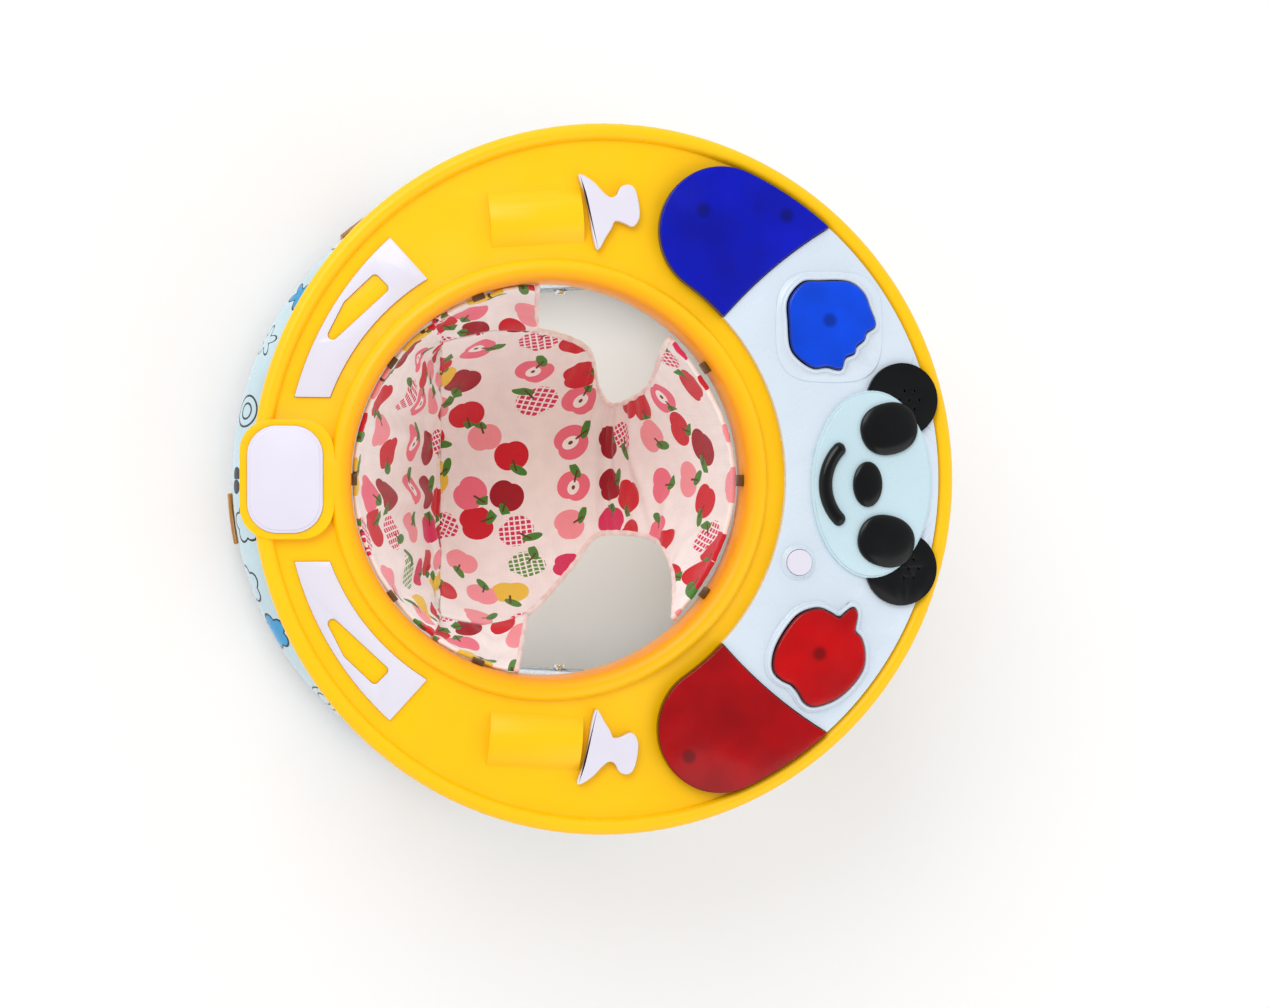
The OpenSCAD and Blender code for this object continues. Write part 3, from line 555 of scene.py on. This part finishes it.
# Outlines of the fruit and apple buttons in millimetres
FRUIT = [(-36, 17), (-24, 32), (-9, 34), (17, 34), (31, 25), (37, 12), (42, -3), (34, -10), (32, -16),
         (25, -22), (23, -28), (15, -32), (12, -41), (7, -42), (-2, -40), (-14, -41), (-27, -33), (-34, -23),
         (-36, -3)]
APPLE = [(1, 39), (11, 35), (19, 31), (26, 37), (32, 39), (35, 34), (34, 26), (33, 19), (39, 12), (42, -1),
         (40, -15), (29, -30), (14, -41), (-4, -46), (-13, -42), (-18, -34), (-24, -27), (-32, -23),
         (-39, -17), (-41, -9), (-39, 3), (-32, 17), (-21, 31), (-11, 37)]
# Bottle teat in millimetres: a slanted flange that comes to two tips, a short neck and a flat-ended bulb
TEAT = [(-27, 28), (-24, 30), (-14, 24), (-6, 16), (0, 12), (5, 14), (9, 21), (16, 23), (21, 19), (24, 9),
        (25, -3), (22, -10), (18, -12), (11, -9), (4, -8), (1, -14), (-4, -22), (-9, -31), (-12, -31),
        (-15, -20), (-18, -2), (-22, 15)]


def smooth_loop(points, per_side=8):
    """Closed smooth outline through points in millimetres, as points in metres."""
    closed = [(x, y, 0) for x, y in points[-1:] + points + points[:2]]
    spots = []
    for k in range(len(points) * per_side):
        spot = along(closed, (1 + k / per_side) / (len(closed) - 1))
        spots.append((spot.x * 0.001, spot.y * 0.001))
    return spots


def inset(outline, distance):
    """The outline moved inwards by a distance, along its own normals."""
    count = len(outline)
    area = sum(outline[k - 1][0] * outline[k][1] - outline[k][0] * outline[k - 1][1] for k in range(count))
    sign = 1 if area > 0 else -1
    moved = []
    for k in range(count):
        (x0, y0), (x1, y1) = outline[k - 1], outline[(k + 1) % count]
        dx, dy = x1 - x0, y1 - y0
        size = math.hypot(dx, dy) or 1.0
        push = sign * distance / size
        moved.append((outline[k][0] - dy * push, outline[k][1] + dx * push))
    return moved


def pressed(name, outline, low, top, radius, slot):
    """A flat piece of any outline with an evenly rounded top edge."""
    loops = [[(x, y, low) for x, y in outline]]
    steps = 5
    for k in range(steps + 1):
        a = PI / 2 * k / steps
        ring = inset(outline, radius * (1 - math.cos(a)))
        loops.append([(x, y, top - radius + radius * math.sin(a)) for x, y in ring])
    count = len(outline)
    faces = []
    for ring in range(len(loops) - 1):
        for k in range(count):
            n = (k + 1) % count
            faces.append((ring * count + k, ring * count + n, (ring + 1) * count + n, (ring + 1) * count + k))
    faces.append(tuple(range(count)))
    faces.append(tuple(range((len(loops) - 1) * count, len(loops) * count)))
    return mesh_piece(name, [point for loop in loops for point in loop], faces, LOOKS[slot])


def teats():
    """A rounded white teat on each moulded bottle."""
    low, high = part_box("bottle_teats")
    centre_x, centre_y = low.x + 0.027, high.y - 0.030
    for label, side in (("left", 1), ("right", -1)):
        outline = [(centre_x + x, side * (centre_y + y)) for x, y in smooth_loop(TEAT)]
        piece = pressed("bottle_teat_" + label, outline, low.z, high.z, 0.0011, "white_plastic")
        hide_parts("bottle_teats")


def button(name, centre, radii, node, slot):
    """A clear button: a flat, slightly crowned top with a rolled edge, which rides on its own key."""
    low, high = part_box(node)
    play, roll, rise, steps = -0.6, 2.6, 0.0022, 7
    rim = high.z - rise
    loops = [loop_at(centre, radii, play, low.z), loop_at(centre, radii, play, rim)]
    for k in range(1, steps + 1):
        a = PI / 2 * k / steps
        loops.append(loop_at(centre, radii, play - roll * (1 - math.cos(a)), rim + rise * math.sin(a)))
    for share in (0.8, 0.5, 0.2):
        loops.append(loop_at(centre, [r * share for r in radii], 0, high.z + 0.0006 * (1 - share)))
    piece = skin(name, loops, LOOKS[slot], body=node.replace("button", "key"))
    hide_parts(node)


def surround(name, centre, radii, outer, lip):
    """The raised rim round a button, on a low step that fades into the panel."""
    low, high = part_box("button_surrounds")
    wide = [max(radii[k - 1], r, radii[(k + 1) % len(radii)]) for k, r in enumerate(radii)]
    outer = [max(edge, inner + lip + 2.5) for edge, inner in zip(outer, wide)]
    step = low.z + 0.0012
    loops = [loop_at(centre, outer, 0, low.z - 0.0004), loop_at(centre, outer, -0.7, step - 0.0003),
             loop_at(centre, outer, -1.8, step)]
    loops += [loop_at(centre, wide, lip + 0.6, step), loop_at(centre, wide, lip, high.z - 0.0008),
              loop_at(centre, wide, lip - 0.7, high.z), loop_at(centre, radii, 0.9, high.z),
              loop_at(centre, radii, 0.3, high.z - 0.0006), loop_at(centre, radii, 0.2, low.z - 0.0004)]
    count = len(radii)
    vertices = [point for loop in loops for point in loop]
    faces = []
    for ring in range(len(loops)):
        nxt = (ring + 1) % len(loops)
        for k in range(count):
            n = (k + 1) % count
            faces.append((ring * count + k, ring * count + n, nxt * count + n, nxt * count + k))
    piece = mesh_piece(name, vertices, faces, LOOKS["panel_plastic"])
    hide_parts("button_surrounds")


def buttons():
    """The blue fruit and red apple buttons in their raised rims, and the small round one."""
    fruit, apple = polar(FRUIT), polar(APPLE)
    square = polar([(x + 2, y - 5) for x, y in ellipse(0, 0, 48, 48, power=0.62, steps=24)])
    button("fruit_button_clear", FRUIT_AT, fruit, "fruit_button", "fruit_blue")
    button("apple_button_clear", APPLE_AT, apple, "apple_button", "apple_red")
    surround("fruit_surround", FRUIT_AT, fruit, square, 3.2)
    surround("apple_surround", APPLE_AT, apple, [r + 6 for r in apple], 3.2)
    small = middle("music_button")
    music_at = (small.x, small.y)
    surround("music_surround", music_at, [11.0] * 96, [15.5] * 96, 1.6)


def smile(name, cx, cy, radius, half_angle, width, low, height, material):
    """A curved bar with round ends and a domed back."""
    along, around = 48, 12
    vertices, faces = [], []
    for i in range(along + 1):
        t = i / along
        a = PI + half_angle * (2 * t - 1)
        end = min(t, 1 - t) * 2 * half_angle * radius
        half = width / 2
        shape = 1.0 if end > half else math.sqrt(max(0.0, 1 - (1 - end / half) ** 2))
        shape = max(shape, 0.06)
        for k in range(around + 1):
            b = PI * k / around
            r = radius + math.cos(b) * half * shape
            rise = height * math.sin(b) ** 0.8 * shape
            vertices.append((cx + r * math.cos(a), cy + r * math.sin(a), low + rise))
    ring = around + 1
    for i in range(along):
        for k in range(around):
            p = i * ring + k
            faces.append((p, p + 1, p + ring + 1, p + ring))
        faces.append((i * ring + around, i * ring, (i + 1) * ring, (i + 1) * ring + around))
    faces.append(tuple(range(ring)))
    faces.append(tuple(reversed(range(along * ring, along * ring + ring))))
    return mesh_piece(name, vertices, faces, material)


def panda():
    """Domed eyes, nose and smile on the round animal face."""
    low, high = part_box("panda_features")
    black = LOOKS["black_plastic"]
    edge = low.z + 0.0022
    eye_top = high.z + 0.003
    left = ellipse(0.237, 0.045, 0.0256, 0.0224, 0.25, 0.9)
    right = ellipse(0.235, -0.052, 0.0256, 0.0224, -0.25, 0.9)
    nose = ellipse(0.218, -0.003, 0.013, 0.0195)
    pieces = [
        dome("panda_eye_left", left, low.z, edge, eye_top, black),
        dome("panda_eye_right", right, low.z, edge, eye_top, black),
        dome("panda_nose", nose, low.z, edge, high.z + 0.002, black),
        smile("panda_smile", 0.2235, -0.003, 0.043, math.radians(52), 0.012, low.z, 0.005, black),
    ]
    for piece in pieces:
        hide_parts("panda_features")


# ---------------------------------------------------------------- cloth seat

# Cut edges and middle line of the seat floor and front panel, from the back to the front collar, in metres
LEFT_EDGE = [(-0.143, 0.118, 0.372), (-0.098, 0.131, 0.347), (-0.054, 0.134, 0.328), (-0.002, 0.122, 0.288),
             (0.0165, 0.088, 0.242), (0.031, 0.071, 0.25), (0.047, 0.083, 0.33), (0.049, 0.112, 0.388),
             (0.051, 0.1215, 0.411)]
RIGHT_EDGE = [(-0.143, -0.118, 0.372), (-0.103, -0.128, 0.345), (-0.0615, -0.1215, 0.318),
              (-0.0126, -0.084, 0.258), (0.0116, -0.057, 0.235), (0.031, -0.05, 0.246),
              (0.060, -0.055, 0.306), (0.064, -0.08, 0.366), (0.055, -0.1195, 0.411)]
MIDDLE = [(-0.132, 0, 0.224), (-0.09, 0, 0.2205), (-0.05, 0, 0.2195), (-0.01, 0.003, 0.2195),
          (0.016, 0.006, 0.22), (0.036, 0.008, 0.223), (0.071, 0.006, 0.306), (0.098, 0, 0.382),
          (0.108, 0, 0.411)]


def along(points, t):
    """A point on the smooth curve through points, t from 0 to 1."""
    place = t * (len(points) - 1)
    i = min(int(place), len(points) - 2)
    f = place - i
    p0, p1, p2, p3 = (Vector(points[min(max(k, 0), len(points) - 1)]) for k in (i - 1, i, i + 1, i + 2))
    return 0.5 * (2 * p1 + (p2 - p0) * f + (2 * p0 - 5 * p1 + 4 * p2 - p3) * f ** 2
                  + (3 * p1 - p0 - 3 * p2 + p3) * f ** 3)


def collar(degrees):
    """A point where the cloth hangs from the collar."""
    a = math.radians(degrees)
    return Vector((MOUTH.x + COLLAR_R * math.cos(a), COLLAR_R * math.sin(a), SEAT_TOP - 0.002))


def floor_point(u, v):
    """Seat floor and front panel, u from -1 right to 1 left, v from the back to the front collar."""
    centre = along(MIDDLE, v)
    edge = along(LEFT_EDGE if u > 0 else RIGHT_EDGE, v)
    w = abs(u)
    return Vector((centre.x + (edge.x - centre.x) * w ** 2, centre.y + (edge.y - centre.y) * w,
                   centre.z + (edge.z - centre.z) * w ** 2.2))


def back_point(u, v):
    """Back panel, u from -1 right to 1 left, v from the collar down to the floor."""
    top = collar(180 - 53 * u)
    foot = floor_point(u, 0)
    point = top.lerp(foot, v)
    out = Vector((point.x - MOUTH.x, point.y, 0)).normalized()
    pleat = math.sin(17 * u + 0.6) * 0.6 + math.sin(29 * u + 2.0) * 0.4
    depth = 0.0055 * math.sin(PI * min(v, 0.97) ** 0.8) ** 0.7
    return point + out * (pleat * depth - 0.004 * math.sin(PI * v))


def wing_point(side, u, v):
    """Side wing, u from the back to the leg hole, v from the collar down to the crease."""
    reach = 33 if side > 0 else 27
    top = collar(side * (127 - reach * u))
    edge = LEFT_EDGE if side > 0 else RIGHT_EDGE
    foot = along(edge[:3], u)
    point = top.lerp(foot, v)
    out = Vector((point.x - MOUTH.x, point.y, 0)).normalized()
    return point + out * (0.004 * math.sin(PI * v) + 0.002 * math.sin(11 * u) * math.sin(PI * v))


def sheet_mesh(name, place, count_u, count_v, u_from=-1.0):
    """One layer of cloth from place(u, v), with its flat cut in metres as UV."""
    rows = []
    for j in range(count_v + 1):
        rows.append([place(u_from + (1 - u_from) * i / count_u, j / count_v) for i in range(count_u + 1)])
    half = count_u // 2
    down = [0.0]
    for j in range(count_v):
        down.append(down[-1] + (rows[j + 1][half] - rows[j][half]).length)
    flat = []
    for j, row in enumerate(rows):
        steps = [(row[i + 1] - row[i]).length for i in range(count_u)]
        sums = [sum(steps[:i]) for i in range(count_u + 1)]
        flat += [(s - sums[half] + 0.5, down[j] + 0.5) for s in sums]
    wide = count_u + 1
    faces = [(j * wide + i, j * wide + i + 1, (j + 1) * wide + i + 1, (j + 1) * wide + i)
             for j in range(count_v) for i in range(count_u)]
    piece = mesh_piece(name, [p for row in rows for p in row], faces, LOOKS["seat_cloth"])
    uv = piece.data.uv_layers.new(name="flat")
    for loop in piece.data.loops:
        uv.data[loop.index].uv = flat[loop.vertex_index]
    return piece


CLOTH_FRAMES = 24


def settle(piece, count_u, count_v, slack, cap):
    """Lets the cloth hang a little slack between its sewn edges, and keeps the result in the mesh."""
    wide = count_u + 1
    sewn = piece.vertex_groups.new(name="sewn")
    border = [k for k in range(len(piece.data.vertices))
              if k % wide in (0, count_u) or k // wide in (0, count_v)]
    sewn.add(border, 1.0, "REPLACE")
    cloth = piece.modifiers.new("cloth", "CLOTH")
    cloth.settings.quality = 6
    cloth.settings.mass = 0.25
    cloth.settings.tension_stiffness = 25
    cloth.settings.compression_stiffness = 25
    cloth.settings.bending_stiffness = 0.6
    cloth.settings.shrink_min = -slack
    cloth.settings.vertex_group_mass = "sewn"
    cloth.point_cache.frame_start = 1
    cloth.point_cache.frame_end = CLOTH_FRAMES
    scene = bpy.context.scene
    for number in range(1, CLOTH_FRAMES + 1):
        scene.frame_set(number)
    shaped = piece.evaluated_get(bpy.context.evaluated_depsgraph_get()).to_mesh()
    moved = [v.co.copy() for v in shaped.vertices]
    piece.modifiers.remove(cloth)
    for vertex, target in zip(piece.data.vertices, moved):
        step = target - vertex.co
        vertex.co += step * min(1.0, cap / max(step.length, 1e-9))
    scene.frame_set(1)


def thicken(piece, thickness):
    """Two layers of cotton round thin wadding."""
    solid = piece.modifiers.new("wadding", "SOLIDIFY")
    solid.thickness = thickness
    solid.offset = 0
    smooth = piece.modifiers.new("soft", "SUBSURF")
    smooth.levels = 1
    smooth.render_levels = 1


def binding(name, points, radius):
    """A sewn binding: a soft roll along an edge, with its stitches as small dents."""
    sides = 10
    vertices, faces = [], []
    for i, point in enumerate(points):
        ahead = points[min(i + 1, len(points) - 1)] - points[max(i - 1, 0)]
        ahead.normalize()
        side = ahead.cross(Vector((0, 0, 1)))
        side = side.normalized() if side.length > 0.1 else Vector((1, 0, 0))
        up = side.cross(ahead)
        r = radius * (1 + 0.08 * math.sin(i * 1.9))
        for k in range(sides):
            a = 2 * PI * k / sides
            vertices.append(point + side * math.cos(a) * r + up * math.sin(a) * r)
    for i in range(len(points) - 1):
        for k in range(sides):
            n = (k + 1) % sides
            faces.append((i * sides + k, i * sides + n, (i + 1) * sides + n, (i + 1) * sides + k))
    faces.append(tuple(reversed(range(sides))))
    faces.append(tuple(range((len(points) - 1) * sides, len(points) * sides)))
    return mesh_piece(name, vertices, faces, LOOKS["binding"])


def border_points(piece, count_u, count_v, column, start=0):
    """The cloth's border points down one side, after it has settled."""
    wide = count_u + 1
    return [piece.data.vertices[j * wide + column].co.copy() for j in range(start, count_v + 1)]


def cotton_binding():
    """Pale bias tape round the cloth's cut edges."""
    shader = Shader("binding_cotton", linear(240, 228, 224), 0.85, Sheen_Weight=0.3)
    dye = shader.noise(90, 3).smooth(0.3, 0.7)
    shader.colour(shader.mix(dye, linear(234, 206, 204), linear(246, 234, 230)))
    shader.bump(shader.noise(1500, 2), 0.0003)
    return shader.material


def seat():
    """Back panel, two wings and the floor with its front panel, all hung from the collar."""
    LOOKS["binding"] = cotton_binding()
    thick = 0.0042
    floor_u, floor_v = 56, 104
    floor = sheet_mesh("seat_floor_cloth", floor_point, floor_u, floor_v)
    settle(floor, floor_u, floor_v, 0.035, 0.008)
    first = floor_v // 4
    right, left = (border_points(floor, floor_u, floor_v, column, first) for column in (0, floor_u))
    edges = [binding("seat_binding_right", right, 0.0027), binding("seat_binding_left", left, 0.0027)]
    back_u, back_v = 96, 40
    back = sheet_mesh("seat_back_cloth", back_point, back_u, back_v)
    settle(back, back_u, back_v, 0.03, 0.006)
    wing_u, wing_v = 28, 14
    for side, label in ((1, "left"), (-1, "right")):
        wing = sheet_mesh("seat_wing_" + label, lambda u, v, s=side: wing_point(s, u, v), wing_u, wing_v, 0.0)
        settle(wing, wing_u, wing_v, 0.04, 0.004)
        hem = binding("seat_wing_hem_" + label, border_points(wing, wing_u, wing_v, wing_u), 0.0025)
        thicken(wing, thick)
    thicken(floor, thick)
    thicken(back, thick)
    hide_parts("seat_bottom")
    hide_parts("seat_front")
    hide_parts("seat_back")


# ---------------------------------------------------------------- stage

def stage_floor():
    """White paper under the walker, wide enough to fill every view."""
    reach, ground = 60.0, min(CAD_BOX[0][2], 0.0)
    mesh = bpy.data.meshes.new("studio_floor")
    signs = ((-1, -1), (1, -1), (1, 1), (-1, 1))
    corners = [(x * reach, y * reach, ground) for x, y in signs]
    mesh.from_pydata(corners, [], [(0, 1, 2, 3)])
    paint = Shader("studio_paper", (0.96, 0.96, 0.96), 0.9)
    paint.bump(paint.noise(400, 2), 0.0001)
    mesh.materials.append(paint.material)
    floor = bpy.data.objects.new("studio_floor", mesh)
    bpy.context.scene.collection.objects.link(floor)


def aim(thing, place, target, right):
    """Puts thing at place, facing target, with its own right side towards right."""
    back = (Vector(place) - Vector(target)).normalized()
    across = (Vector(right) - back * back.dot(Vector(right))).normalized()
    up = back.cross(across)
    turn = Matrix((across, up, back)).transposed().to_4x4()
    thing.matrix_world = Matrix.Translation(place) @ turn


def soft_light(name, place, size, power):
    """A square area light, aimed at the tray from place."""
    lamp = bpy.data.lights.new(name, "AREA")
    lamp.size = size
    lamp.energy = power
    thing = bpy.data.objects.new(name, lamp)
    bpy.context.scene.collection.objects.link(thing)
    aim(thing, place, (0, 0, DECK_Z * 0.7), (1, 0, 0.01))


def studio_air():
    """Soft white air, dimmer straight overhead, so that glossy tops keep their colour."""
    world = bpy.data.worlds.new("studio_air")
    world.use_nodes = True
    tree = world.node_tree
    place = tree.nodes.new("ShaderNodeTexCoord")
    split = tree.nodes.new("ShaderNodeSeparateXYZ")
    dim = tree.nodes.new("ShaderNodeMapRange")
    dim.inputs["From Min"].default_value = 0.35
    dim.inputs["From Max"].default_value = 0.95
    dim.inputs["To Min"].default_value = 1.15
    dim.inputs["To Max"].default_value = 0.45
    tree.links.new(place.outputs["Generated"], split.inputs[0])
    tree.links.new(split.outputs["Z"], dim.inputs["Value"])
    tree.links.new(dim.outputs["Result"], tree.nodes["Background"].inputs["Strength"])
    tree.nodes["Background"].inputs["Color"].default_value = (1, 1, 1, 1)
    return world


def studio():
    """Floor, two soft lights and the air round them."""
    stage_floor()
    soft_light("key_light", (-0.9, 1.3, 2.5), 1.6, 30)
    soft_light("fill_light", (1.4, -1.5, 2.2), 2.2, 14)
    bpy.context.scene.world = studio_air()
    bpy.context.scene.view_settings.view_transform = "Standard"


def camera():
    """High above the back rim, looking down and a little forwards."""
    lens = bpy.data.cameras.new("camera")
    lens.lens = 48.1
    thing = bpy.data.objects.new("camera", lens)
    bpy.context.scene.collection.objects.link(thing)
    aim(thing, (-0.255, 0.0, 1.84), (0.015, -0.02, 0.44), (1, 0, 0))
    bpy.context.scene.camera = thing


dress_cad()
panda()
buttons()
teats()
seat()
studio()
camera()
